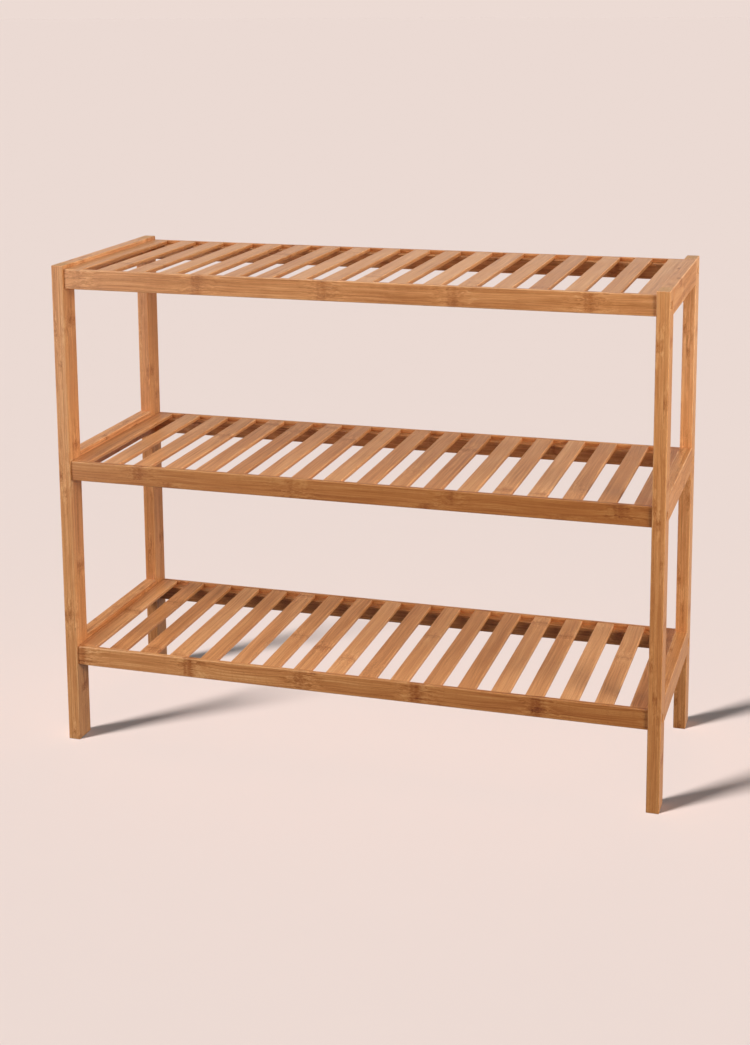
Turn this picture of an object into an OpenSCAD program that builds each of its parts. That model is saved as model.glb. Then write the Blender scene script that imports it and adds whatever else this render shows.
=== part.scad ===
// Three-tier slatted bamboo bench: two glued side frames, six long rails, 54 slats.
// Frame: origin on the floor under the middle of the bench, +X to the right as seen
// from the front, +Y to the back, +Z up. Millimetres.

/* [Overall] */
// Width over the outer faces of the legs
bench_w = 700; // [560:10:900]
// Depth over the front and back faces of the legs
bench_d = 257; // [230:1:340]
// Height to the top of the legs
bench_h = 570; // [566:1:600]

/* [Side frames] */
// Thickness of the leg and side rail stock, across the bench
leg_t = 14.4; // [13:0.1:18]
// Width of the legs, front to back
leg_w = 29; // [27:0.5:32]
// Height of the side rails
side_h = 29; // [27:0.5:30]
// Height of the middle and bottom side rails above the slats
side_lip = 6.8; // [5:0.1:8]

/* [Shelves] */
// Underside of the bottom long rails above the floor
rail_z = 93; // [60:1:93]
// Distance from shelf to shelf
tier = 225; // [200:1:225]
// Height of the long rails
rail_h = 22.9; // [21:0.1:24]
// Thickness of the long rails, front to back
rail_t = 16; // [15:0.5:18]
// Set-back of the long rails behind the faces of the legs
rail_inset = 3; // [2:0.1:5]
// Thickness of the lip that hides the slat ends
lip_t = 5; // [4:0.1:6]
// Width of one slat
slat_w = 20.5; // [16:0.5:24]
// Thickness of one slat, which is also the depth of the rebate it lies in
slat_t = 4.8; // [4:0.1:6]

/* [Fixings] */
// Shank diameter of the frame screws
screw_d = 6; // [5:0.1:6]
// Head diameter of the frame screws
head_d = 10; // [9:0.1:10.5]
// Length of the frame screws under the head
screw_l = 50; // [40:1:60]
// Depth of the counterbore for the head
bore_depth = 5; // [4.5:0.1:6]
// Diameter of the frame dowels
dowel_d = 6; // [5:0.1:6]
// Length of the frame dowels
dowel_l = 24; // [20:1:24]

/* [Finish] */
// Radius on the long edges of the legs and rails
edge_r = 1.2; // [0.8:0.1:1.6]
// Radius on the long edges of the slats
slat_r = 0.9; // [0.6:0.1:1.2]

/* [Hidden] */
$fn = 32;

bamboo_frame = "#C18A57";
bamboo_rail = "#BC8149";
bamboo_slat = "#CC9C76";
steel = "#8A8078";
beech = "#D9B98C";

slats = 18;                              // per shelf, in pairs that share a node
inner_w = bench_w - 2 * leg_t;           // clear width between the side frames
inner_d = bench_d - 2 * leg_w;           // clear depth between the legs
slat_pitch = (inner_w - slat_w) / (slats - 1);
rail_y = bench_d / 2 - rail_inset;       // outer face of the long rails
slat_l = 2 * (rail_y - lip_t);           // a slat runs from lip to lip
leg_x = bench_w / 2 - leg_t / 2;         // middle of the legs
leg_y = bench_d / 2 - leg_w / 2;
screw_y = bench_d / 2 - 13.5;            // screw axis, inside both leg and rail
screw_up = 10.8;                         // screw axis above a long rail's underside
dowel_in = dowel_l / 2 - 1;              // dowel depth in the leg

// tier 0 is the bottom shelf, 1 the middle one and 2 the top one
function rail_base(i) = rail_z + i * tier;
function shelf_top(i) = rail_base(i) + rail_h;
function side_base(i) = i == 2 ? bench_h - side_h : shelf_top(i) + side_lip - side_h;
function slat_x(k) = -inner_w / 2 + slat_w / 2 + k * slat_pitch;

// rectangle with true round corners, centred
module round_rect(a, b, r) {
  square([a - 2 * r, b], center = true);
  square([a, b - 2 * r], center = true);
  for (i = [-1, 1], j = [-1, 1])
    translate([i * (a / 2 - r), j * (b / 2 - r)]) circle(r);
}

// one leg: sx is -1 at the left, 1 at the right; sy is -1 at the front, 1 at the back
module leg(sx, sy) {
  color(bamboo_frame) difference() {
    translate([sx * leg_x, sy * leg_y, 0])
      linear_extrude(bench_h) round_rect(leg_t, leg_w, edge_r);
    for (i = [0:2]) {
      translate([0, sy * screw_y, rail_base(i) + screw_up]) {
        // clearance hole, and the counterbore in the outer face
        rotate([0, sx * 90, 0]) cylinder(h = bench_w / 2 + 5, d = screw_d);
        translate([sx * (bench_w / 2 - bore_depth), 0, 0])
          rotate([0, sx * 90, 0]) cylinder(h = bore_depth + 5, d = head_d + 0.5);
      }
      // dowel sockets in the inner face
      for (u = dowel_heights(i))
        translate([sx * leg_x, sy * (inner_d / 2 + dowel_in), u])
          rotate([sy * 90, 0, 0]) cylinder(h = dowel_in + 5, d = dowel_d);
    }
  }
}

function dowel_heights(i) = [side_base(i) + 8, side_base(i) + side_h - 8];

// one side rail, butted between the front and the back leg
module side_rail(sx, i) {
  color(bamboo_frame) difference() {
    translate([sx * leg_x, inner_d / 2, side_base(i) + side_h / 2])
      rotate([90, 0, 0]) linear_extrude(inner_d) round_rect(leg_t, side_h, edge_r);
    for (sy = [-1, 1], u = dowel_heights(i))
      translate([sx * leg_x, sy * (inner_d / 2 + dowel_in), u])
        rotate([sy * 90, 0, 0]) cylinder(h = dowel_l, d = dowel_d);
  }
}

// long rail with a rebate along its inner top edge for the slat ends
module long_rail(sy, i) {
  color(bamboo_rail) difference() {
    translate([-inner_w / 2, sy * (rail_y - rail_t / 2), rail_base(i) + rail_h / 2])
      rotate([90, 0, 90]) linear_extrude(inner_w) round_rect(rail_t, rail_h, edge_r);
    translate([-inner_w / 2 - 5, sy > 0 ? rail_y - rail_t - 5 : -rail_y + lip_t,
               shelf_top(i) - slat_t])
      cube([inner_w + 10, rail_t - lip_t + 5, slat_t + 5]);
    // pilot holes for the frame screws
    for (sx = [-1, 1])
      translate([sx * (bench_w / 2 - bore_depth - screw_l), sy * screw_y,
                 rail_base(i) + screw_up])
        rotate([0, sx * 90, 0]) cylinder(h = screw_l + 20, d = screw_d);
  }
}

// two neighbouring slats, numbered from the left
module slat_pair(i, k) {
  color(bamboo_slat)
    for (n = [k, k + 1])
      translate([slat_x(n), slat_l / 2, shelf_top(i) - slat_t / 2])
        rotate([90, 0, 0]) linear_extrude(slat_l) round_rect(slat_w, slat_t, slat_r);
}

// socket head screw along +Z from its seat at the origin; the head points up
module frame_screw() {
  difference() {
    union() {
      translate([0, 0, -screw_l]) cylinder(h = screw_l, d = screw_d);
      cylinder(h = bore_depth - 1.6, d = head_d);
      translate([0, 0, bore_depth - 1.6]) cylinder(h = 0.6, d1 = head_d, d2 = head_d - 1.4);
    }
    // hexagonal socket, 4 mm across the flats
    translate([0, 0, bore_depth - 3.8]) cylinder(h = 5, d = 4 / cos(30), $fn = 6);
  }
}

module frame_screws(sx) {
  color(steel)
    for (sy = [-1, 1], i = [0:2])
      translate([sx * (bench_w / 2 - bore_depth), sy * screw_y, rail_base(i) + screw_up])
        rotate([0, sx * 90, 0]) frame_screw();
}

module frame_dowels(sx) {
  color(beech)
    for (sy = [-1, 1], i = [0:2], u = dowel_heights(i))
      translate([sx * leg_x, sy * (inner_d / 2 + dowel_in), u])
        rotate([sy * 90, 0, 0]) cylinder(h = dowel_l, d = dowel_d);
}

leg(-1, -1);  // left_front_leg
leg(-1, 1);  // left_rear_leg
leg(1, -1);  // right_front_leg
leg(1, 1);  // right_rear_leg

side_rail(-1, 2);  // left_top_side_rail
side_rail(-1, 1);  // left_middle_side_rail
side_rail(-1, 0);  // left_bottom_side_rail
side_rail(1, 2);  // right_top_side_rail
side_rail(1, 1);  // right_middle_side_rail
side_rail(1, 0);  // right_bottom_side_rail

long_rail(-1, 2);  // top_front_rail
long_rail(1, 2);  // top_rear_rail
long_rail(-1, 1);  // middle_front_rail
long_rail(1, 1);  // middle_rear_rail
long_rail(-1, 0);  // bottom_front_rail
long_rail(1, 0);  // bottom_rear_rail

slat_pair(2, 0);  // top_slats_01_02
slat_pair(2, 2);  // top_slats_03_04
slat_pair(2, 4);  // top_slats_05_06
slat_pair(2, 6);  // top_slats_07_08
slat_pair(2, 8);  // top_slats_09_10
slat_pair(2, 10);  // top_slats_11_12
slat_pair(2, 12);  // top_slats_13_14
slat_pair(2, 14);  // top_slats_15_16
slat_pair(2, 16);  // top_slats_17_18

slat_pair(1, 0);  // middle_slats_01_02
slat_pair(1, 2);  // middle_slats_03_04
slat_pair(1, 4);  // middle_slats_05_06
slat_pair(1, 6);  // middle_slats_07_08
slat_pair(1, 8);  // middle_slats_09_10
slat_pair(1, 10);  // middle_slats_11_12
slat_pair(1, 12);  // middle_slats_13_14
slat_pair(1, 14);  // middle_slats_15_16
slat_pair(1, 16);  // middle_slats_17_18

slat_pair(0, 0);  // bottom_slats_01_02
slat_pair(0, 2);  // bottom_slats_03_04
slat_pair(0, 4);  // bottom_slats_05_06
slat_pair(0, 6);  // bottom_slats_07_08
slat_pair(0, 8);  // bottom_slats_09_10
slat_pair(0, 10);  // bottom_slats_11_12
slat_pair(0, 12);  // bottom_slats_13_14
slat_pair(0, 14);  // bottom_slats_15_16
slat_pair(0, 16);  // bottom_slats_17_18

frame_screws(-1);  // left_frame_screws
frame_screws(1);  // right_frame_screws
frame_dowels(-1);  // left_frame_dowels
frame_dowels(1);  // right_frame_dowels
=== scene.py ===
"""Looks of the three-tier slatted bamboo entryway bench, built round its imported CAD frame.

Every bamboo bar is a new mesh with eased edges, made at the place and size of its CAD node.
Screws and dowels keep their CAD shape. Metres throughout, in the frame of the CAD part.
"""

import math
import random

import bmesh
import bpy
from mathutils import Matrix, Vector


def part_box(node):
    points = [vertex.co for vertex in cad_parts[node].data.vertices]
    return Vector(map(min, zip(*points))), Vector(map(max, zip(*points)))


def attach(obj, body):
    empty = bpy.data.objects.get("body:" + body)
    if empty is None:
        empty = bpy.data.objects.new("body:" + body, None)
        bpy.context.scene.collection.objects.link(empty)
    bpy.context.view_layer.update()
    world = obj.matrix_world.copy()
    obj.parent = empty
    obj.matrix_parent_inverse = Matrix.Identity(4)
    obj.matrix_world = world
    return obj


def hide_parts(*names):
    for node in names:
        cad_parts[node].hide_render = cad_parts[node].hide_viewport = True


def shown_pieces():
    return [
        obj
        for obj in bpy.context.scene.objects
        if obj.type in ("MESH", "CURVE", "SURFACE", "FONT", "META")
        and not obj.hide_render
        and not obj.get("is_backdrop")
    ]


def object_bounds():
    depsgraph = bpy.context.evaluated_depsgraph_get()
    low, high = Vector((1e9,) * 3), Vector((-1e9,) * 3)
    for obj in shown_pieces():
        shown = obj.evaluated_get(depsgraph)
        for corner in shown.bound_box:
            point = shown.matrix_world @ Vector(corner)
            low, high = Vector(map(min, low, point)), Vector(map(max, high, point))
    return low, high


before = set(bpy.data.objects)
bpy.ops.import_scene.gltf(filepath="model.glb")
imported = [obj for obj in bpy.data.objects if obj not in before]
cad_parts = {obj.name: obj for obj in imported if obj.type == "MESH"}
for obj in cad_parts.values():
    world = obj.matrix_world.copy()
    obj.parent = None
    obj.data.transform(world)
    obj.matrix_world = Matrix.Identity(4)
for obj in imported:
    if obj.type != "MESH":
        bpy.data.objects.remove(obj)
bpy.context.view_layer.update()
scene = bpy.context.scene
MM = 0.001

# ------------------------------------------------------------------ settings
END_EASE = 0.5 * MM  # rounding of a bar's sawn ends
EDGE_R = 1.2 * MM  # rounding of legs and rails
SLAT_R = 0.95 * MM  # rounding of the slats
REBATE = 4.8 * MM  # depth of the ledge the slats lie on
LIP = 5.0 * MM  # thickness of the rail lip in front of the slats' ends
BORE_R = 5.25 * MM  # counterbore round each screw head
BORE_DEPTH = 5.0 * MM
SHANK_R = 3.1 * MM
SCREW_Y = 115.0 * MM  # screw axis, from the middle
SCREW_UP = 10.8 * MM  # screw axis, above the rail's underside
PAPER = (0.839, 0.708, 0.658)  # linear colour of floor and backdrop


# ------------------------------------------------------------------ meshes
def rounded(corners, seg=5):
    """Outline with rounded corners: [(a, b, r)] anticlockwise -> [(point, outward normal)]."""
    out = []
    n = len(corners)
    for i in range(n):
        p = Vector(corners[i][:2])
        r = corners[i][2]
        d0 = (p - Vector(corners[i - 1][:2])).normalized()
        d1 = (Vector(corners[(i + 1) % n][:2]) - p).normalized()
        n0, n1 = Vector((d0.y, -d0.x)), Vector((d1.y, -d1.x))
        turn = d0.x * d1.y - d0.y * d1.x
        if turn <= 0 or r <= 0:
            m = n0 + n1
            out.append((p, m / max(m.dot(n0), 1e-6)))
            continue
        half = 0.5 * math.atan2(turn, d0.dot(d1))
        start = p - d0 * (r * math.tan(half))
        centre = start - n0 * r
        a0 = math.atan2(n0.y, n0.x)
        for k in range(seg + 1):
            a = a0 + 2 * half * k / seg
            nn = Vector((math.cos(a), math.sin(a)))
            out.append((centre + nn * r, nn))
    return out


def bar_mesh(bm, outline, half_w, place, ease, step, rng, bow=0.0, id_seed=None, half=None, gain=(1.0, 0.0)):
    """Adds a bar to bm: outline in (u, v), length along w from -half_w to half_w. place maps (u, v, w) to the frame.
    A grain, a size and a seed are kept on each vertex, so the wood's figure is solid through the bar."""
    g, h, s = (bm.verts.layers.float_vector[k] for k in ("grain", "half", "seed"))
    gl = bm.verts.layers.float["gain"]
    rings = []
    k_end = 4
    for k in range(k_end):
        a = math.pi / 2 * k / k_end
        rings.append((-half_w + ease * (1 - math.cos(a)), ease * (1 - math.sin(a))))
    n = max(2, round((2 * half_w - 2 * ease) / step))
    for k in range(n + 1):
        rings.append((-half_w + ease + (2 * half_w - 2 * ease) * k / n, 0.0))
    for k in range(k_end - 1, -1, -1):
        a = math.pi / 2 * k / k_end
        rings.append((half_w - ease * (1 - math.cos(a)), ease * (1 - math.sin(a))))
    phase = [rng.uniform(0, 6.283) for _ in range(4)]
    wave = rng.uniform(0.6, 1.0) * bow
    verts = []
    for w, inset in rings:
        t = w / half_w
        du = 0.35 * wave * math.sin(2.1 * t + phase[0])
        dv = wave * (math.sin(1.6 * t + phase[1]) - math.sin(phase[1])) * 0.5
        row = []
        for p, nn in outline:
            q = p - nn * inset
            # tiny planer ripple that keeps the arrises from being ruler straight
            rip = 0.04 * MM * math.sin(w * 210 + phase[2] + 40 * q.x / MM * 0.01) if inset == 0 else 0.0
            uvw = Vector((q.x + du - nn.x * abs(rip), q.y + dv - nn.y * abs(rip), w))
            vert = bm.verts.new(place(uvw))
            vert[g] = Vector((q.x, q.y, w))
            vert[h] = half
            vert[s] = id_seed
            # painted light: the board's factor carries painted light and sheen, and its run a painted light falloff
            # along the bar
            vert[gl] = gain[0] * (1 + gain[1] * t)
            row.append(vert)
        verts.append(row)
    m = len(outline)
    faces = []
    for a, b in zip(verts, verts[1:]):
        for i in range(m):
            faces.append(bm.faces.new((a[i], a[(i + 1) % m], b[(i + 1) % m], b[i])))
    for row, flip in ((verts[0], True), (verts[-1], False)):
        f = bm.faces.new(list(reversed(row)) if flip else row)
        f.material_index = 1
        faces.append(f)
    bmesh.ops.recalc_face_normals(bm, faces=faces)


def new_bm():
    bm = bmesh.new()
    for k in ("grain", "half", "seed"):
        bm.verts.layers.float_vector.new(k)
    bm.verts.layers.float.new("gain")
    return bm


def place_by(centre, u, v, w):
    cu, cv, cw = ({"x": 0, "y": 1, "z": 2}[k] for k in (u, v, w))

    def put(p):
        q = Vector(centre)
        q[cu] += p.x
        q[cv] += p.y
        q[cw] += p.z
        return q

    return put


def finish_piece(bm, name, mats, nodes):
    me = bpy.data.meshes.new(name)
    bm.to_mesh(me)
    bm.free()
    for m in mats:
        me.materials.append(m)
    ob = bpy.data.objects.new(name, me)
    scene.collection.objects.link(ob)
    smooth(ob)
    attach(ob, "root")
    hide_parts(*nodes)
    return ob


def smooth(ob):
    me = ob.data
    me.polygons.foreach_set("use_smooth", [True] * len(me.polygons))
    me.set_sharp_from_angle(angle=math.radians(38))
    if "weighted" not in ob.modifiers:
        mod = ob.modifiers.new("weighted", "WEIGHTED_NORMAL")
        mod.keep_sharp = True
        mod.weight = 100


# each board's brightness: partly its own tone, partly painted light, and on the side rails a painted sheen that pales
# their tops
BOARD_TONE_AND_LIGHT = {
    "top_rear_rail": 0.98,
    "middle_rear_rail": 0.98,
    "bottom_rear_rail": 0.96,
    "top_front_rail": 1.06,
    "middle_front_rail": 0.72,
    "bottom_front_rail": 0.85,
    "left_front_leg": 1.05,
    "right_front_leg": 0.91,
    "right_rear_leg": 1.06,
    "left_rear_leg": 0.93,
    "left_top_side_rail": 1.08,
    "left_middle_side_rail": 1.20,
    "right_top_side_rail": 1.04,
    "right_middle_side_rail": 1.04,
    "right_bottom_side_rail": 0.90,
}
BOARD_SHADE_FALLOFF = {  # painted light falloff: how much a board darkens (-) or pales (+) from its middle to its right or upper end, as the light on it falls off
    "top_front_rail": -0.03,
    "middle_front_rail": -0.14,
    "bottom_front_rail": -0.23,
    "left_front_leg": -0.02,
    "right_front_leg": 0.09,
    "right_rear_leg": 0.15,
    "left_rear_leg": 0.02,
}


def tone_and_light_of(name, k=0):
    """How dark or pale a board is against the others: partly each stick's own tone, partly painted light and sheen,
    with a painted light falloff along some boards.
    """
    rng = random.Random(f"{name}:{k}:depth")
    spread = 0.07 if "_slats_" in name else 0.015
    return BOARD_TONE_AND_LIGHT.get(name, 1.06 if "_slats_" in name else 1.03) * (1 + rng.uniform(-spread, spread)), BOARD_SHADE_FALLOFF.get(name, 0.0)


def seed_of(name, k=0):
    rng = random.Random(f"{name}:{k}:bench")
    return rng, Vector((rng.random(), rng.random(), rng.random()))


# ------------------------------------------------------------------ node helpers
class Nodes:
    def __init__(self, name):
        self.mat = bpy.data.materials.new(name)
        self.mat.use_nodes = True
        self.t = self.mat.node_tree
        self.t.nodes.clear()
        self.out = self.t.nodes.new("ShaderNodeOutputMaterial")
        self.bsdf = self.t.nodes.new("ShaderNodeBsdfPrincipled")
        self.t.links.new(self.bsdf.outputs[0], self.out.inputs["Surface"])

    def new(self, kind, **props):
        n = self.t.nodes.new(kind)
        for k, v in props.items():
            setattr(n, k, v)
        return n

    def put(self, value, socket):
        if isinstance(value, bpy.types.NodeSocket):
            self.t.links.new(value, socket)
        elif value is not None:
            socket.default_value = value

    def m(self, op, a, b=None, c=None, clamp=False):
        n = self.new("ShaderNodeMath", operation=op, use_clamp=clamp)
        for k, x in enumerate((a, b, c)):
            self.put(x, n.inputs[k])
        return n.outputs[0]

    def v(self, op, a, b=None, scale=None):
        n = self.new("ShaderNodeVectorMath", operation=op)
        self.put(a, n.inputs[0])
        if b is not None:
            self.put(b, n.inputs[1])
        if scale is not None:
            self.put(scale, n.inputs["Scale"])
        return n.outputs["Value" if op in ("LENGTH", "DOT_PRODUCT", "DISTANCE") else "Vector"]

    def attr(self, name, scale=None):
        o = self.new("ShaderNodeAttribute", attribute_name=name, attribute_type="GEOMETRY").outputs["Vector"]
        return self.v("SCALE", o, scale=scale) if scale else o

    def sep(self, x):
        return self.new_sep(x)

    def new_sep(self, x):
        n = self.new("ShaderNodeSeparateXYZ")
        self.put(x, n.inputs[0])
        return n.outputs[0], n.outputs[1], n.outputs[2]

    def xyz(self, x, y, z):
        n = self.new("ShaderNodeCombineXYZ")
        for k, a in enumerate((x, y, z)):
            self.put(a, n.inputs[k])
        return n.outputs[0]

    def noise(self, vec, detail=2.0, rough=0.5, distortion=0.0, scale=1.0):
        n = self.new("ShaderNodeTexNoise", noise_dimensions="3D")
        self.put(vec, n.inputs["Vector"])
        n.inputs["Scale"].default_value = scale
        n.inputs["Detail"].default_value = detail
        n.inputs["Roughness"].default_value = rough
        n.inputs["Distortion"].default_value = distortion
        return n.outputs["Fac"]

    def white(self, vec):
        n = self.new("ShaderNodeTexWhiteNoise", noise_dimensions="3D")
        self.put(vec, n.inputs["Vector"])
        return self.new_sep(n.outputs["Color"])

    def step(self, x, a, b, lo=0.0, hi=1.0):
        n = self.new("ShaderNodeMapRange", interpolation_type="SMOOTHSTEP")
        self.put(x, n.inputs["Value"])
        for k, val in (("From Min", a), ("From Max", b), ("To Min", lo), ("To Max", hi)):
            self.put(val, n.inputs[k])
        return n.outputs["Result"]

    def ramp(self, x, stops):
        n = self.new("ShaderNodeValToRGB")
        e = n.color_ramp.elements
        while len(e) < len(stops):
            e.new(0.5)
        for k, (pos, col) in enumerate(stops):
            e[k].position = pos
            e[k].color = (*col, 1)
        self.put(x, n.inputs[0])
        return n.outputs["Color"]

    def mix(self, fac, a, b, blend="MIX"):
        n = self.new("ShaderNodeMix", data_type="RGBA", blend_type=blend)
        n.clamp_factor = True
        self.put(fac, n.inputs[0])
        for x, s in ((a, n.inputs[6]), (b, n.inputs[7])):
            self.put((*x, 1) if isinstance(x, tuple) and len(x) == 3 else x, s)
        return n.outputs[2]

    def bump(self, height, strength, distance):
        n = self.new("ShaderNodeBump")
        n.inputs["Strength"].default_value = strength
        n.inputs["Distance"].default_value = distance
        self.put(height, n.inputs["Height"])
        self.t.links.new(n.outputs[0], self.bsdf.inputs["Normal"])

    def base(self, col, rough):
        self.put(col, self.bsdf.inputs["Base Color"])
        self.put(rough, self.bsdf.inputs["Roughness"])


# ------------------------------------------------------------------ bamboo
TONES = [
    (0.00, (0.345, 0.105, 0.022)),
    (0.28, (0.488, 0.172, 0.045)),
    (0.50, (0.635, 0.250, 0.078)),
    (0.72, (0.745, 0.330, 0.114)),
    (1.00, (0.850, 0.440, 0.180)),
]


def figure(n, layers, strip, period, shift=0.0, streak=1.0, node=1.0):
    """The wood's figure as a solid texture. Returns colour, roughness and height sockets.
    u runs through the layers, v across the strips and w along the culm, all in millimetres."""
    u, v, w = n.new_sep(n.attr("grain", 1000.0))
    hu, hv, hw = n.new_sep(n.attr("half", 1000.0))
    s1, s2, s3 = n.new_sep(n.attr("seed"))
    # laminae: layers through the thickness, strips side by side in each layer
    tu = n.m("MULTIPLY", n.m("DIVIDE", n.m("ADD", u, hu), n.m("MULTIPLY", hu, 2.0)), float(layers))
    tu = n.m("MINIMUM", n.m("MAXIMUM", tu, 0.001), layers - 0.001)
    li = n.m("FLOOR", tu)
    tv = n.m("ADD", n.m("DIVIDE", n.m("ADD", v, hv), strip), n.m("MULTIPLY", n.m("ADD", s2, n.m("MULTIPLY", li, 0.43)), 1.0 if layers > 1 else 0.0))
    si = n.m("FLOOR", tv)
    cell = n.xyz(n.m("ADD", li, n.m("MULTIPLY", s1, 97.0)), n.m("ADD", si, n.m("MULTIPLY", s3, 53.0)), n.m("MULTIPLY", s2, 71.0))
    r1, r2, r3 = n.white(cell)
    # the culm's nodes, each lamina with its own spacing and start
    per = n.m("MULTIPLY", n.m("ADD", n.m("MULTIPLY", r2, 0.34), 0.83), period)
    wn = n.m("ADD", n.m("DIVIDE", n.m("ADD", w, hw), per), n.m("ADD", r1, s3))
    k = n.m("FLOOR", wn)
    d = n.m("MULTIPLY", n.m("SUBTRACT", n.m("SUBTRACT", wn, k), 0.5), per)
    q1, q2, q3 = n.white(n.xyz(n.m("ADD", k, n.m("MULTIPLY", r1, 31.0)), n.m("MULTIPLY", r2, 17.0), n.m("MULTIPLY", r3, 43.0)))
    force = n.m("MULTIPLY", n.step(q1, 0.05, 0.75, 0.30, 1.0), node)
    off = n.m("MULTIPLY", n.m("ADD", n.m("ADD", s1, s2), s3), 37.0)
    lane = n.m("ADD", off, n.m("MULTIPLY", r1, 29.0))
    ad = n.m("ABSOLUTE", d)
    near = n.step(ad, 40.0, 4.0)
    # fibres swerve and curl beside a node, and drift a little elsewhere
    drift = n.m("SUBTRACT", n.noise(n.xyz(n.m("MULTIPLY", u, 0.03), n.m("MULTIPLY", n.m("ADD", v, lane), 0.04), n.m("MULTIPLY", w, 0.011)), 1.0), 0.5)
    curl = n.m("SUBTRACT", n.noise(n.xyz(n.m("ADD", n.m("MULTIPLY", u, 0.22), lane), n.m("MULTIPLY", v, 0.22), n.m("MULTIPLY", w, 0.085)), 2.0, 0.6), 0.5)
    sway = n.m("ADD", n.m("MULTIPLY", drift, 7.0), n.m("MULTIPLY", n.m("MULTIPLY", curl, near), 11.0))
    fu = n.m("ADD", u, n.m("MULTIPLY", sway, 0.35))
    fv = n.m("ADD", v, sway)
    fine = n.noise(n.xyz(n.m("ADD", n.m("MULTIPLY", fu, 2.3), lane), n.m("MULTIPLY", fv, 2.3), n.m("ADD", n.m("MULTIPLY", w, 0.020), off)), 3.0, 0.62)
    med = n.noise(n.xyz(n.m("ADD", n.m("MULTIPLY", fu, 0.62), lane), n.m("MULTIPLY", fv, 0.62), n.m("ADD", n.m("MULTIPLY", w, 0.0095), off)), 2.0, 0.55)
    broad = n.noise(n.xyz(n.m("ADD", n.m("MULTIPLY", fu, 0.16), lane), n.m("MULTIPLY", fv, 0.13), n.m("ADD", n.m("MULTIPLY", w, 0.0045), off)), 1.0)
    flame = n.noise(n.xyz(n.m("ADD", n.m("MULTIPLY", fu, 0.35), lane), n.m("MULTIPLY", fv, 0.42), n.m("ADD", n.m("MULTIPLY", w, 0.045), off)), 2.0, 0.6)
    dash_n = n.noise(n.xyz(n.m("ADD", n.m("MULTIPLY", fu, 1.25), off), n.m("MULTIPLY", fv, 1.25), n.m("ADD", n.m("MULTIPLY", w, 0.034), lane)), 2.0, 0.5)
    dash = n.m("MULTIPLY", n.step(dash_n, 0.60, 0.70), n.step(broad, 0.40, 0.62))
    tone = n.m("ADD", 0.5 + shift, n.m("MULTIPLY", n.m("SUBTRACT", fine, 0.5), 0.85 * streak))
    tone = n.m("ADD", tone, n.m("MULTIPLY", n.m("SUBTRACT", med, 0.5), 1.75 * streak))
    tone = n.m("ADD", tone, n.m("MULTIPLY", n.m("SUBTRACT", broad, 0.5), 0.75 * streak))
    tone = n.m("ADD", tone, n.m("MULTIPLY", n.m("SUBTRACT", r3, 0.5), 0.20))
    tone = n.m("ADD", tone, n.m("MULTIPLY", n.m("SUBTRACT", s1, 0.5), 0.14))
    tone = n.m("ADD", tone, n.m("MULTIPLY", n.m("MULTIPLY", n.m("SUBTRACT", flame, 0.47), near), 1.9 * node))
    tone = n.m("SUBTRACT", tone, n.m("MULTIPLY", dash, 0.16 * streak))
    col = n.ramp(tone, TONES)
    # the node itself: a serrated dark line where fibres interlock, with a fainter one beside it
    jag = n.m("MULTIPLY", n.m("SUBTRACT", n.noise(n.xyz(n.m("ADD", n.m("MULTIPLY", u, 0.85), off), n.m("MULTIPLY", v, 0.85), n.m("ADD", n.m("MULTIPLY", w, 0.03), lane)), 3.0, 0.7), 0.5), 15.0)
    core = n.step(n.m("ABSOLUTE", n.m("ADD", d, jag)), 3.4, 0.5)
    core2 = n.step(n.m("ABSOLUTE", n.m("ADD", n.m("ADD", d, n.m("MULTIPLY", jag, 0.8)), 6.0)), 2.6, 0.3)
    halo = n.step(ad, 12.0, 1.0)
    mark = n.m("ADD", n.m("MULTIPLY", core, 0.80), n.m("MULTIPLY", core2, 0.42))
    mark = n.m("MULTIPLY", n.m("ADD", mark, n.m("MULTIPLY", halo, 0.48 if layers > 1 else 0.34)), force, clamp=True)
    col = n.mix(mark, col, n.mix(1.0, col, (0.58, 0.40, 0.24), "MULTIPLY"))
    # glue lines
    fr = n.m("SUBTRACT", tu, li)
    gap_u = n.m("MULTIPLY", n.m("SUBTRACT", 0.5, n.m("ABSOLUTE", n.m("SUBTRACT", fr, 0.5))), n.m("DIVIDE", n.m("MULTIPLY", hu, 2.0), float(layers)))
    glue = n.step(gap_u, 0.34, 0.06)
    # not at the bar's own faces
    inside = n.step(n.m("SUBTRACT", hu, n.m("ABSOLUTE", u)), 0.8, 1.4)
    glue = n.m("MULTIPLY", glue, inside)
    if layers == 1:
        glue = n.m("MULTIPLY", glue, 0.0)
    sfr = n.m("SUBTRACT", tv, si)
    gap_v = n.m("MULTIPLY", n.m("SUBTRACT", 0.5, n.m("ABSOLUTE", n.m("SUBTRACT", sfr, 0.5))), strip)
    side = n.m("MULTIPLY", n.step(gap_v, 0.26, 0.05), n.step(n.m("SUBTRACT", hv, n.m("ABSOLUTE", v)), 0.8, 1.4))
    glue = n.m("MAXIMUM", glue, n.m("MULTIPLY", side, 0.6))
    col = n.mix(n.m("MULTIPLY", glue, 0.55), col, n.mix(1.0, col, (0.62, 0.50, 0.38), "MULTIPLY"))
    # arrises sanded a little paler and rougher than the faces
    du = n.m("SUBTRACT", hu, n.m("ABSOLUTE", u))
    dv = n.m("SUBTRACT", hv, n.m("ABSOLUTE", v))
    dist = n.m("SQRT", n.m("ADD", n.m("MULTIPLY", du, du), n.m("MULTIPLY", dv, dv)))
    patch = n.noise(n.xyz(n.m("ADD", n.m("MULTIPLY", u, 0.2), off), n.m("MULTIPLY", v, 0.2), n.m("MULTIPLY", w, 0.06)), 2.0)
    worn = n.m("MULTIPLY", n.step(dist, 1.9, 0.5), n.step(patch, 0.36, 0.62, 0.35, 1.0))
    col = n.mix(n.m("MULTIPLY", worn, 0.34 if layers > 1 else 0.22), col, (0.86, 0.50, 0.225))
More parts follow.
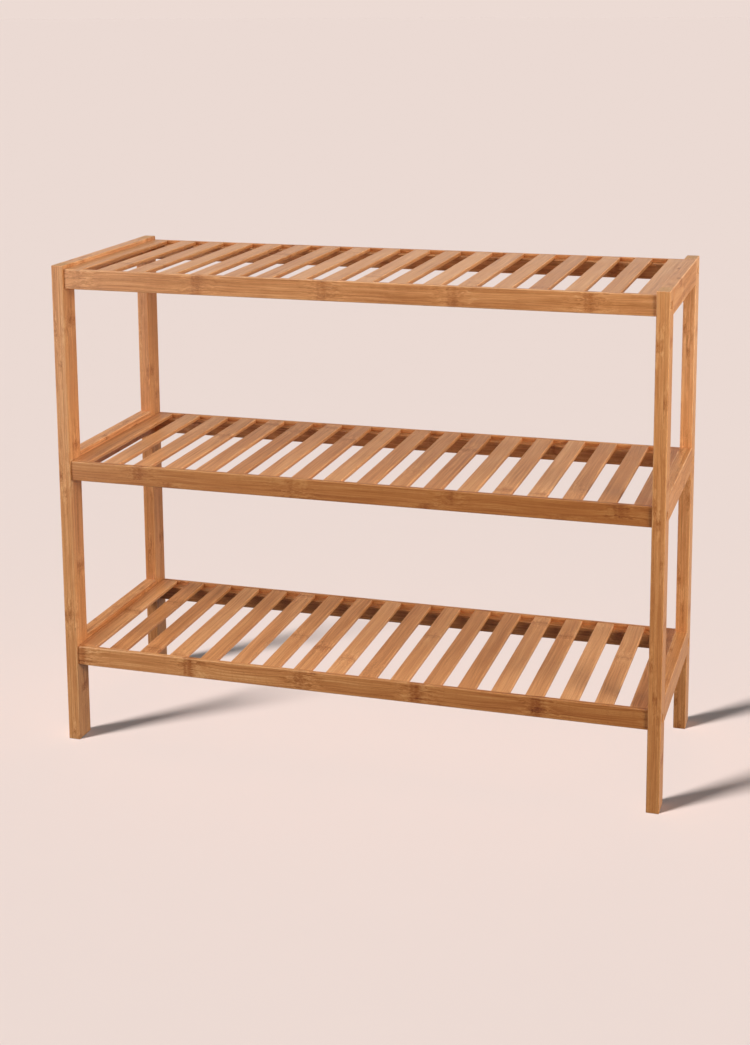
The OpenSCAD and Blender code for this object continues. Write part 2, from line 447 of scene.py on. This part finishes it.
    # each board's depth of colour: its own tone, with painted light, painted sheen and a painted light falloff folded
    # in
    gain = n.new("ShaderNodeAttribute", attribute_name="gain", attribute_type="GEOMETRY").outputs["Fac"]
    col = n.v("MULTIPLY", col, n.xyz(gain, n.m("POWER", gain, 1.5), n.m("POWER", gain, 2.4)))
    # handling marks and uneven lacquer
    film = n.noise(n.xyz(n.m("ADD", n.m("MULTIPLY", u, 0.05), off), n.m("MULTIPLY", v, 0.05), n.m("MULTIPLY", w, 0.02)), 3.0, 0.6)
    rough = n.m("ADD", 0.43, n.m("MULTIPLY", n.m("SUBTRACT", film, 0.5), 0.22))
    rough = n.m("SUBTRACT", rough, n.m("MULTIPLY", n.m("SUBTRACT", fine, 0.5), 0.22))
    rough = n.m("ADD", rough, n.m("MULTIPLY", worn, 0.10))
    rough = n.m("ADD", rough, n.m("MULTIPLY", mark, 0.08), clamp=True)
    height = n.m("ADD", n.m("MULTIPLY", fine, 0.55), n.m("MULTIPLY", med, 0.35))
    height = n.m("SUBTRACT", height, n.m("ADD", n.m("MULTIPLY", glue, 0.45), n.m("MULTIPLY", dash, 0.20)))
    height = n.m("ADD", height, n.m("MULTIPLY", n.m("SUBTRACT", halo, core), n.m("MULTIPLY", force, 0.25)))
    return col, rough, height, (u, v, w, li, si, off, lane, glue, worn)


def bamboo(name, **kw):
    n = Nodes(name)
    col, rough, height, _ = figure(n, **kw)
    n.base(col, rough)
    n.bump(height, 0.42, 0.00022)
    b = n.bsdf.inputs
    b["IOR"].default_value = 1.5
    b["Specular IOR Level"].default_value = 0.35
    b["Coat Weight"].default_value = 0.40
    b["Coat Roughness"].default_value = 0.20
    b["Coat IOR"].default_value = 1.5
    return n.mat


def end_grain(name, **kw):
    """Sawn ends: pale ground tissue with dark fibre bundles of uneven size."""
    n = Nodes(name)
    col, rough, height, (u, v, w, li, si, off, lane, glue, worn) = figure(n, **kw)
    vor = n.new("ShaderNodeTexVoronoi", voronoi_dimensions="3D", feature="F1")
    n.put(n.xyz(n.m("MULTIPLY", u, 1.15), n.m("MULTIPLY", v, 0.95), n.m("ADD", n.m("MULTIPLY", li, 3.0), off)), vor.inputs["Vector"])
    vor.inputs["Scale"].default_value = 1.0
    vor.inputs["Randomness"].default_value = 0.75
    dist = vor.outputs["Distance"]
    size = n.noise(n.xyz(n.m("MULTIPLY", u, 0.9), n.m("MULTIPLY", v, 0.25), off), 1.0)
    dots = n.step(dist, n.m("ADD", 0.40, n.m("MULTIPLY", n.m("SUBTRACT", size, 0.5), 0.4)), n.m("ADD", 0.14, n.m("MULTIPLY", n.m("SUBTRACT", size, 0.5), 0.3)))
    tissue = n.noise(n.xyz(n.m("MULTIPLY", u, 3.1), n.m("MULTIPLY", v, 3.1), off), 3.0, 0.6)
    ground = n.ramp(tissue, [(0.30, (0.53, 0.250, 0.095)), (0.55, (0.66, 0.335, 0.138)), (0.80, (0.75, 0.420, 0.190))])
    col2 = n.mix(n.m("MULTIPLY", dots, 0.62), ground, (0.36, 0.155, 0.052))
    col2 = n.mix(n.m("MULTIPLY", glue, 0.6), col2, (0.30, 0.13, 0.05))
    col2 = n.mix(n.m("MULTIPLY", worn, 0.25), col2, (0.86, 0.53, 0.27))
    rough2 = n.m("ADD", 0.50, n.m("MULTIPLY", dots, 0.16))
    n.base(col2, rough2)
    n.bump(n.m("SUBTRACT", n.m("MULTIPLY", tissue, 0.4), n.m("MULTIPLY", dots, 0.6)), 0.5, 0.00025)
    b = n.bsdf.inputs
    b["IOR"].default_value = 1.5
    b["Coat Weight"].default_value = 0.12
    b["Coat Roughness"].default_value = 0.35
    return n.mat


frame_mat = bamboo("bench_bamboo_frame", layers=3, strip=21.0, period=168.0, shift=0.0, streak=0.85, node=1.1)
rail_mat = bamboo("bench_bamboo_rail", layers=3, strip=23.0, period=160.0, shift=-0.02, streak=1.0, node=1.3)
slat_mat = bamboo("bench_bamboo_slat", layers=1, strip=60.0, period=330.0, shift=0.03, streak=0.75, node=0.7)
frame_end = end_grain("bench_bamboo_frame_end", layers=3, strip=21.0, period=168.0)
rail_end = end_grain("bench_bamboo_rail_end", layers=3, strip=23.0, period=160.0)
slat_end = end_grain("bench_bamboo_slat_end", layers=1, strip=60.0, period=330.0)


# ------------------------------------------------------------------ metal and dowels
def object_mm(n):
    tc = n.new("ShaderNodeTexCoord")
    return n.v("SCALE", tc.outputs["Object"], scale=1000.0)


def metal(name):
    """Zinc-plated steel with a warm passivated film and small darker flecks."""
    n = Nodes(name)
    p = object_mm(n)
    x, y, z = n.new_sep(p)
    cloud = n.noise(n.xyz(n.m("MULTIPLY", x, 0.35), n.m("MULTIPLY", y, 0.35), n.m("MULTIPLY", z, 0.35)), 3.0, 0.6)
    grainy = n.noise(n.xyz(n.m("MULTIPLY", x, 6.0), n.m("MULTIPLY", y, 6.0), n.m("MULTIPLY", z, 6.0)), 2.0, 0.6)
    turn = n.noise(n.xyz(n.m("MULTIPLY", x, 9.0), n.m("MULTIPLY", y, 1.4), n.m("MULTIPLY", z, 1.4)), 2.0, 0.5)
    col = n.ramp(cloud, [(0.30, (0.42, 0.30, 0.20)), (0.52, (0.56, 0.43, 0.30)), (0.75, (0.66, 0.54, 0.41))])
    col = n.mix(n.step(grainy, 0.60, 0.74, 0.0, 0.45), col, (0.22, 0.15, 0.10))
    rough = n.m("ADD", 0.34, n.m("MULTIPLY", n.m("SUBTRACT", grainy, 0.5), 0.35), clamp=True)
    rough = n.m("ADD", rough, n.m("MULTIPLY", n.m("SUBTRACT", cloud, 0.5), 0.25), clamp=True)
    n.base(col, rough)
    n.bsdf.inputs["Metallic"].default_value = 1.0
    n.bump(n.m("ADD", n.m("MULTIPLY", turn, 0.6), n.m("MULTIPLY", grainy, 0.4)), 0.25, 0.0001)
    return n.mat


def beech(name):
    """Compressed beech dowel: pale pink-brown with short flecks along its length."""
    n = Nodes(name)
    p = object_mm(n)
    x, y, z = n.new_sep(p)
    fleck = n.noise(n.xyz(n.m("MULTIPLY", x, 1.6), n.m("MULTIPLY", y, 0.16), n.m("MULTIPLY", z, 1.6)), 3.0, 0.6)
    band = n.noise(n.xyz(n.m("MULTIPLY", x, 0.5), n.m("MULTIPLY", y, 0.02), n.m("MULTIPLY", z, 0.5)), 2.0, 0.5)
    col = n.ramp(n.m("ADD", n.m("MULTIPLY", fleck, 0.6), n.m("MULTIPLY", band, 0.4)), [(0.30, (0.42, 0.24, 0.13)), (0.5, (0.60, 0.39, 0.24)), (0.72, (0.72, 0.52, 0.35))])
    rough = n.m("ADD", 0.55, n.m("MULTIPLY", n.m("SUBTRACT", fleck, 0.5), 0.3), clamp=True)
    n.base(col, rough)
    n.bump(fleck, 0.3, 0.0002)
    return n.mat


steel = metal("bench_plated_steel")
dowel = beech("bench_dowel_wood")
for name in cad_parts:
    if name.endswith("_frame_screws") or name.endswith("_frame_dowels"):
        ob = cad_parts[name]
        mat = steel if name.endswith("_screws") else dowel
        ob.data.materials.clear()
        ob.data.materials.append(mat)


# ------------------------------------------------------------------ pieces
def box_of(name):
    lo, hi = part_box(name)
    return lo, hi, (lo + hi) / 2, (hi - lo) / 2


def rect(hu, hv, r):
    return [(-hu, -hv, r), (hu, -hv, r), (hu, hv, r), (-hu, hv, r)]


def cutter(holes, out):
    """Solid that bores the legs: a counterbore with an eased mouth and a clearance hole, for each (x, y, z)."""
    bm = bmesh.new()
    for x, y, z in holes:
        prof = [(1.0 * MM, BORE_R + 0.35 * MM), (0.0, BORE_R + 0.35 * MM), (-0.35 * MM, BORE_R), (-BORE_DEPTH, BORE_R), (-BORE_DEPTH - 0.0001 * MM, SHANK_R), (-20 * MM, SHANK_R)]
        seg = 48
        rows = []
        for t, r in prof:
            rows.append([bm.verts.new((x + out * t, y + r * math.cos(6.2831853 * k / seg), z + r * math.sin(6.2831853 * k / seg))) for k in range(seg)])
        for a, b in zip(rows, rows[1:]):
            for k in range(seg):
                bm.faces.new((a[k], a[(k + 1) % seg], b[(k + 1) % seg], b[k]))
        bm.faces.new(rows[0])
        bm.faces.new(rows[-1])
    bmesh.ops.recalc_face_normals(bm, faces=bm.faces[:])
    me = bpy.data.meshes.new("bore_cutter")
    bm.to_mesh(me)
    bm.free()
    ob = bpy.data.objects.new("bore_cutter", me)
    scene.collection.objects.link(ob)
    return ob


def bore(ob, holes, out, centre, half, seed, gain):
    """Cuts the holes, and then sets each vertex's grain again from where it is."""
    cut = cutter(holes, out)
    mod = ob.modifiers.new("bore", "BOOLEAN")
    mod.operation = "DIFFERENCE"
    mod.solver = "EXACT"
    mod.object = cut
    for m in [m for m in ob.modifiers if m.type == "WEIGHTED_NORMAL"]:
        ob.modifiers.remove(m)
    bpy.context.view_layer.update()
    dg = bpy.context.evaluated_depsgraph_get()
    me = bpy.data.meshes.new_from_object(ob.evaluated_get(dg), preserve_all_data_layers=True, depsgraph=dg)
    old = ob.data
    ob.modifiers.clear()
    ob.data = me
    me.name = ob.name
    bpy.data.meshes.remove(old)
    bpy.data.objects.remove(cut)
    # painted light: the leg's factor carries painted light, and its run a painted light falloff up the leg
    g = me.attributes.get("gain") or me.attributes.new("gain", "FLOAT", "POINT")
    g.data.foreach_set("value", [gain[0] * (1 + gain[1] * (v.co.z - centre.z) / half.z) for v in me.vertices])
    for key, val in (("grain", None), ("half", half), ("seed", seed)):
        a = me.attributes.get(key) or me.attributes.new(key, "FLOAT_VECTOR", "POINT")
        flat = []
        for vert in me.vertices:
            flat.extend((vert.co - centre) if val is None else val)
        a.data.foreach_set("vector", flat)
    smooth(ob)


legs = []
tiers = ("bottom", "middle", "top")
for side, sx in (("left", -1), ("right", 1)):
    for end, sy in (("front", -1), ("rear", 1)):
        name = f"{side}_{end}_leg"
        lo, hi, c, h = box_of(name)
        rng, sd = seed_of(name)
        half = Vector((h.x, h.y, h.z))
        bm = new_bm()
        bar_mesh(bm, rounded(rect(h.x, h.y, EDGE_R)), h.z, place_by(c, "x", "y", "z"), 0.7 * MM, 14 * MM, rng, 0.0, sd, half, tone_and_light_of(name))
        ob = finish_piece(bm, f"bamboo_{name}", (frame_mat, frame_end), [name])
        holes = [((hi.x if sx > 0 else lo.x), sy * SCREW_Y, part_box(f"{t}_{end}_rail")[0].z + SCREW_UP) for t in tiers]
        bore(ob, holes, sx, c, half, sd, tone_and_light_of(name))
        legs.append(ob)

for side in ("left", "right"):
    for t in tiers:
        name = f"{side}_{t}_side_rail"
        lo, hi, c, h = box_of(name)
        rng, sd = seed_of(name)
        bm = new_bm()
        bar_mesh(bm, rounded(rect(h.x, h.z, EDGE_R)), h.y - 0.05 * MM, place_by(c, "x", "z", "y"), END_EASE, 14 * MM, rng, 0.0, sd, Vector((h.x, h.z, h.y)), tone_and_light_of(name))
        finish_piece(bm, f"bamboo_{name}", (frame_mat, frame_end), [name])

for end, sy in (("front", -1), ("rear", 1)):
    for t in tiers:
        name = f"{t}_{end}_rail"
        lo, hi, c, h = box_of(name)
        rng, sd = seed_of(name)
        sd.y = {"top": 0.001, "middle": 0.70, "bottom": 0.002}[t]  # the middle rails show a joint between two strips
        r = EDGE_R
        # outline in (u, v) = (y, z) from the middle; the ledge is on the side toward the slats
        if sy < 0:
            pts = [(-h.y, -h.z, r), (h.y, -h.z, r), (h.y, h.z - REBATE, 0.6 * MM), (-h.y + LIP, h.z - REBATE, 0), (-h.y + LIP, h.z, 0.5 * MM), (-h.y, h.z, r)]
        else:
            pts = [(-h.y, -h.z, r), (h.y, -h.z, r), (h.y, h.z, r), (h.y - LIP, h.z, 0.5 * MM), (h.y - LIP, h.z - REBATE, 0), (-h.y, h.z - REBATE, 0.6 * MM)]
        bm = new_bm()
        bar_mesh(bm, rounded(pts), h.x - 0.05 * MM, place_by(c, "y", "z", "x"), 0.35 * MM, 14 * MM, rng, 0.0, sd, Vector((h.y, h.z, h.x)), tone_and_light_of(name))
        finish_piece(bm, f"bamboo_{name}", (rail_mat, rail_end), [name])

for name in sorted(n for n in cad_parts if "_slats_" in n):
    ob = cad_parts[name]
    lo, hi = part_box(name)
    xs = sorted(v.co.x for v in ob.data.vertices)
    mid = (lo.x + hi.x) / 2
    bm = new_bm()
    for k, (x0, x1) in enumerate(((lo.x, max(x for x in xs if x < mid)), (min(x for x in xs if x > mid), hi.x))):
        rng, sd = seed_of(name, k)
        hx, hz, hy = (x1 - x0) / 2, (hi.z - lo.z) / 2, (hi.y - lo.y) / 2 - rng.uniform(0.25, 0.55) * MM
        shift = rng.uniform(-0.25, 0.25) * MM if abs((x0 + x1) / 2) < 0.32 else 0.0
        yaw = rng.uniform(-0.25, 0.25) * MM if shift else 0.0
        tall = rng.uniform(-0.15, 0.0) * MM
        c = Vector(((x0 + x1) / 2 + shift, (lo.y + hi.y) / 2 + rng.uniform(-0.12, 0.12) * MM, (lo.z + hi.z) / 2 + tall / 2))
        put0 = place_by(c, "z", "x", "y")

        def put(p, put0=put0, yaw=yaw, hy=hy):
            q = put0(p)
            q.x += yaw * p.z / hy
            return q

        bar_mesh(bm, rounded(rect(hz + tall / 2, hx - 0.05 * MM, SLAT_R)), hy, put, 0.45 * MM, 12 * MM, rng, 0.18 * MM, sd, Vector((hz, hx, hy)), tone_and_light_of(name, k))
    finish_piece(bm, f"bamboo_{name}", (slat_mat, slat_end), [name])

# ------------------------------------------------------------------ floor and backdrop
me = bpy.data.meshes.new("studio_floor")
R = 60.0
me.from_pydata([(-R, -R, -0.0004), (R, -R, -0.0004), (R, R, -0.0004), (-R, R, -0.0004)], [], [(0, 1, 2, 3)])
floor = bpy.data.objects.new("studio_floor", me)
scene.collection.objects.link(floor)
n = Nodes("studio_paper")
tc = n.new("ShaderNodeTexCoord")
soft = n.noise(tc.outputs["Object"], 3.0, 0.6, scale=14.0)
n.base(n.mix(soft, tuple(0.796 / 0.839 * c for c in PAPER), tuple(0.804 / 0.839 * c for c in PAPER)), 1.0)
n.bsdf.inputs["Specular IOR Level"].default_value = 0.0
me.materials.append(n.mat)
floor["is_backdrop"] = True
floor.visible_diffuse = False
floor.visible_glossy = False

world = bpy.data.worlds.new("studio")
scene.world = world
world.use_nodes = True
wt = world.node_tree
bg = wt.nodes["Background"]
bg.inputs["Strength"].default_value = 1.0
world.cycles_visibility.diffuse = False
# the backdrop is lit near the horizon and falls off overhead, which only reflections see
wtc = wt.nodes.new("ShaderNodeTexCoord")
wsep = wt.nodes.new("ShaderNodeSeparateXYZ")
wt.links.new(wtc.outputs["Generated"], wsep.inputs[0])
wband = []
for band in ((0.10, 0.36, 1.0, 0.08), (-0.10, 0.06, 0.25, 1.0)):
    node = wt.nodes.new("ShaderNodeMapRange")
    node.interpolation_type = "SMOOTHSTEP"
    wt.links.new(wsep.outputs[2], node.inputs["Value"])
    for k, val in zip(("From Min", "From Max", "To Min", "To Max"), band):
        node.inputs[k].default_value = val
    wband.append(node)
wmap = wt.nodes.new("ShaderNodeMath")
wmap.operation = "MULTIPLY"
wt.links.new(wband[0].outputs[0], wmap.inputs[0])
wt.links.new(wband[1].outputs[0], wmap.inputs[1])
wlp = wt.nodes.new("ShaderNodeLightPath")
wmax = wt.nodes.new("ShaderNodeMath")
wmax.operation = "MAXIMUM"
wt.links.new(wmap.outputs[0], wmax.inputs[0])
wt.links.new(wlp.outputs["Is Camera Ray"], wmax.inputs[1])
wcol = wt.nodes.new("ShaderNodeVectorMath")
wcol.operation = "SCALE"
wcol.inputs[0].default_value = PAPER
wt.links.new(wmax.outputs[0], wcol.inputs["Scale"])
wt.links.new(wcol.outputs[0], bg.inputs["Color"])

# ------------------------------------------------------------------ lights
lit = bpy.data.collections.new("bench_lit")
ground = bpy.data.collections.new("floor_lit")
feet = bpy.data.collections.new("floor_shade")
ground.objects.link(floor)
# four flags, as tall as the legs stand clear under the bottom shelf, stop the floor lamp; no other ray sees them
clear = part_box("bottom_front_rail")[0].z
bm = bmesh.new()
for ob in legs:
    xs = [v.co.x for v in ob.data.vertices]
    ys = [v.co.y for v in ob.data.vertices]
    c = [(a + b) / 2 for a, b in ((min(xs), max(xs)), (min(ys), max(ys)))]
    hx, hy = (max(xs) - min(xs)) / 2 - 0.001, (max(ys) - min(ys)) / 2 - 0.001
    rows = [[bm.verts.new((c[0] + p.x, c[1] + p.y, z)) for p, _ in rounded(rect(hx, hy, 0.002))] for z in (0.0005, clear)]
    for k in range(len(rows[0])):
        j = (k + 1) % len(rows[0])
        bm.faces.new((rows[0][k], rows[0][j], rows[1][j], rows[1][k]))
    bm.faces.new(rows[0])
    bm.faces.new(rows[1])
me = bpy.data.meshes.new("studio_flags")
bm.to_mesh(me)
bm.free()
me.materials.append(n.mat)
flags = bpy.data.objects.new("studio_flags", me)
scene.collection.objects.link(flags)
flags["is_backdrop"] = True
for k in ("camera", "diffuse", "glossy", "transmission", "volume_scatter"):
    setattr(flags, "visible_" + k, False)
feet.objects.link(flags)
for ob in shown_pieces():
    lit.objects.link(ob)


def aim(ob, at):
    ob.rotation_mode = "QUATERNION"
    ob.rotation_quaternion = (Vector(at) - ob.location).to_track_quat("-Z", "Y")


def area(name, at, look, size, power, colour=(1, 1, 1)):
    d = bpy.data.lights.new(name, "AREA")
    d.shape = "RECTANGLE"
    d.size, d.size_y = size
    d.energy = power
    d.color = colour
    ob = bpy.data.objects.new(name, d)
    ob.location = at
    scene.collection.objects.link(ob)
    aim(ob, look)
    ob.light_linking.receiver_collection = lit
    ob.visible_camera = False
    return ob


def sun(name, azimuth, elevation, angle, strength, colour=(1, 1, 1), shade=None):
    """Azimuth and elevation say where the light comes from; azimuth 0 is the front, and 90 the right."""
    d = bpy.data.lights.new(name, "SUN")
    d.energy = strength
    d.angle = math.radians(angle)
    d.color = colour
    ob = bpy.data.objects.new(name, d)
    a, e = math.radians(azimuth), math.radians(elevation)
    ob.location = Vector((math.sin(a) * math.cos(e), -math.cos(a) * math.cos(e), math.sin(e))) * 3
    scene.collection.objects.link(ob)
    aim(ob, (0, 0, 0))
    ob.light_linking.receiver_collection = ground
    if shade is not None:
        ob.light_linking.blocker_collection = shade
    return ob


LIGHTS = {
    "key": ((-1.40, -1.50, 1.05), (0.0, 0.0, 0.30), (1.0, 1.0), 22.5),
    "low_left": ((-0.95, -1.05, 0.22), (-0.20, 0.0, 0.22), (0.5, 0.4), 1.0),
    "low_right": ((0.75, -1.35, 0.15), (-0.10, 0.0, 0.25), (0.6, 0.3), 0.9),
    "right": ((1.65, -0.90, 0.85), (0.0, 0.0, 0.30), (0.7, 0.8), 22.7),
    "side": ((1.9, 0.35, 0.6), (0.0, 0.0, 0.30), (0.9, 0.9), 15.4),
    "top": ((0.0, -0.2, 2.1), (0.0, 0.0, 0.30), (1.8, 1.4), 20.0),
    "back": ((0.3, 2.1, 0.75), (0.0, 0.0, 0.30), (1.8, 0.9), 12.0),
    "left": ((-1.9, 0.3, 0.8), (0.0, 0.0, 0.30), (0.9, 0.9), 24.0),
    "under": ((0.0, 0.0, 0.002), (0.0, 0.0, 1.0), (2.6, 2.2), 1.4),
}
TINT = {"top": (0.99, 1.08, 1.20)}
SOFT = ("right", "side", "back", "left")  # big diffusers at the sides, which leave no glare on the boards
for k, (at, look, size, power) in LIGHTS.items():
    area("studio_" + k, at, look, size, power, TINT.get(k, (1, 1, 1))).visible_glossy = k not in SOFT

# floor only: a low lamp at the front left whose light the legs stop, and a flat fill
FLOOR_KEY = 0.82
key_el = 19.0
fill = [(1 - FLOOR_KEY) * 0.72 / c for c in PAPER]  # bluish, so that the shade is a plain grey
sun("floor_key", -45.0, key_el, 15.0, math.pi * 1.038 / math.sin(math.radians(key_el)), [1 - c for c in fill], shade=feet)
sun("floor_fill", 0.0, 90.0, 2.0, math.pi * 1.038, fill, shade=ground)

# ------------------------------------------------------------------ camera
F_PX, CX, CY = 1732.72, 375.0, 293.0
ROT = ((0.95649, 0.291683, -0.006897), (0.043079, -0.164567, -0.985425), (-0.288567, 0.942252, -0.169972))
cam_data = bpy.data.cameras.new("camera")
cam = bpy.data.objects.new("camera", cam_data)
scene.collection.objects.link(cam)
cam_data.sensor_width = 36.0
cam_data.sensor_fit = "AUTO"
cam_data.lens = F_PX * 36.0 / 1045.0
cam_data.shift_x = (375.0 - CX) / 1045.0
cam_data.shift_y = (CY - 522.5) / 1045.0
cam_data.clip_start, cam_data.clip_end = 0.05, 200.0
x, y, z = (Vector(r).normalized() for r in ROT)
cam.matrix_world = Matrix.Translation(Vector((571.43, -1880.30, 871.17)) * MM) @ Matrix((x, -y, -z)).transposed().to_4x4()
scene.camera = cam

scene.view_settings.view_transform = "Standard"
scene.view_settings.look = "None"
scene.cycles.use_denoising = True
scene.cycles.max_bounces = 8
scene.cycles.diffuse_bounces = 4

lo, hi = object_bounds()
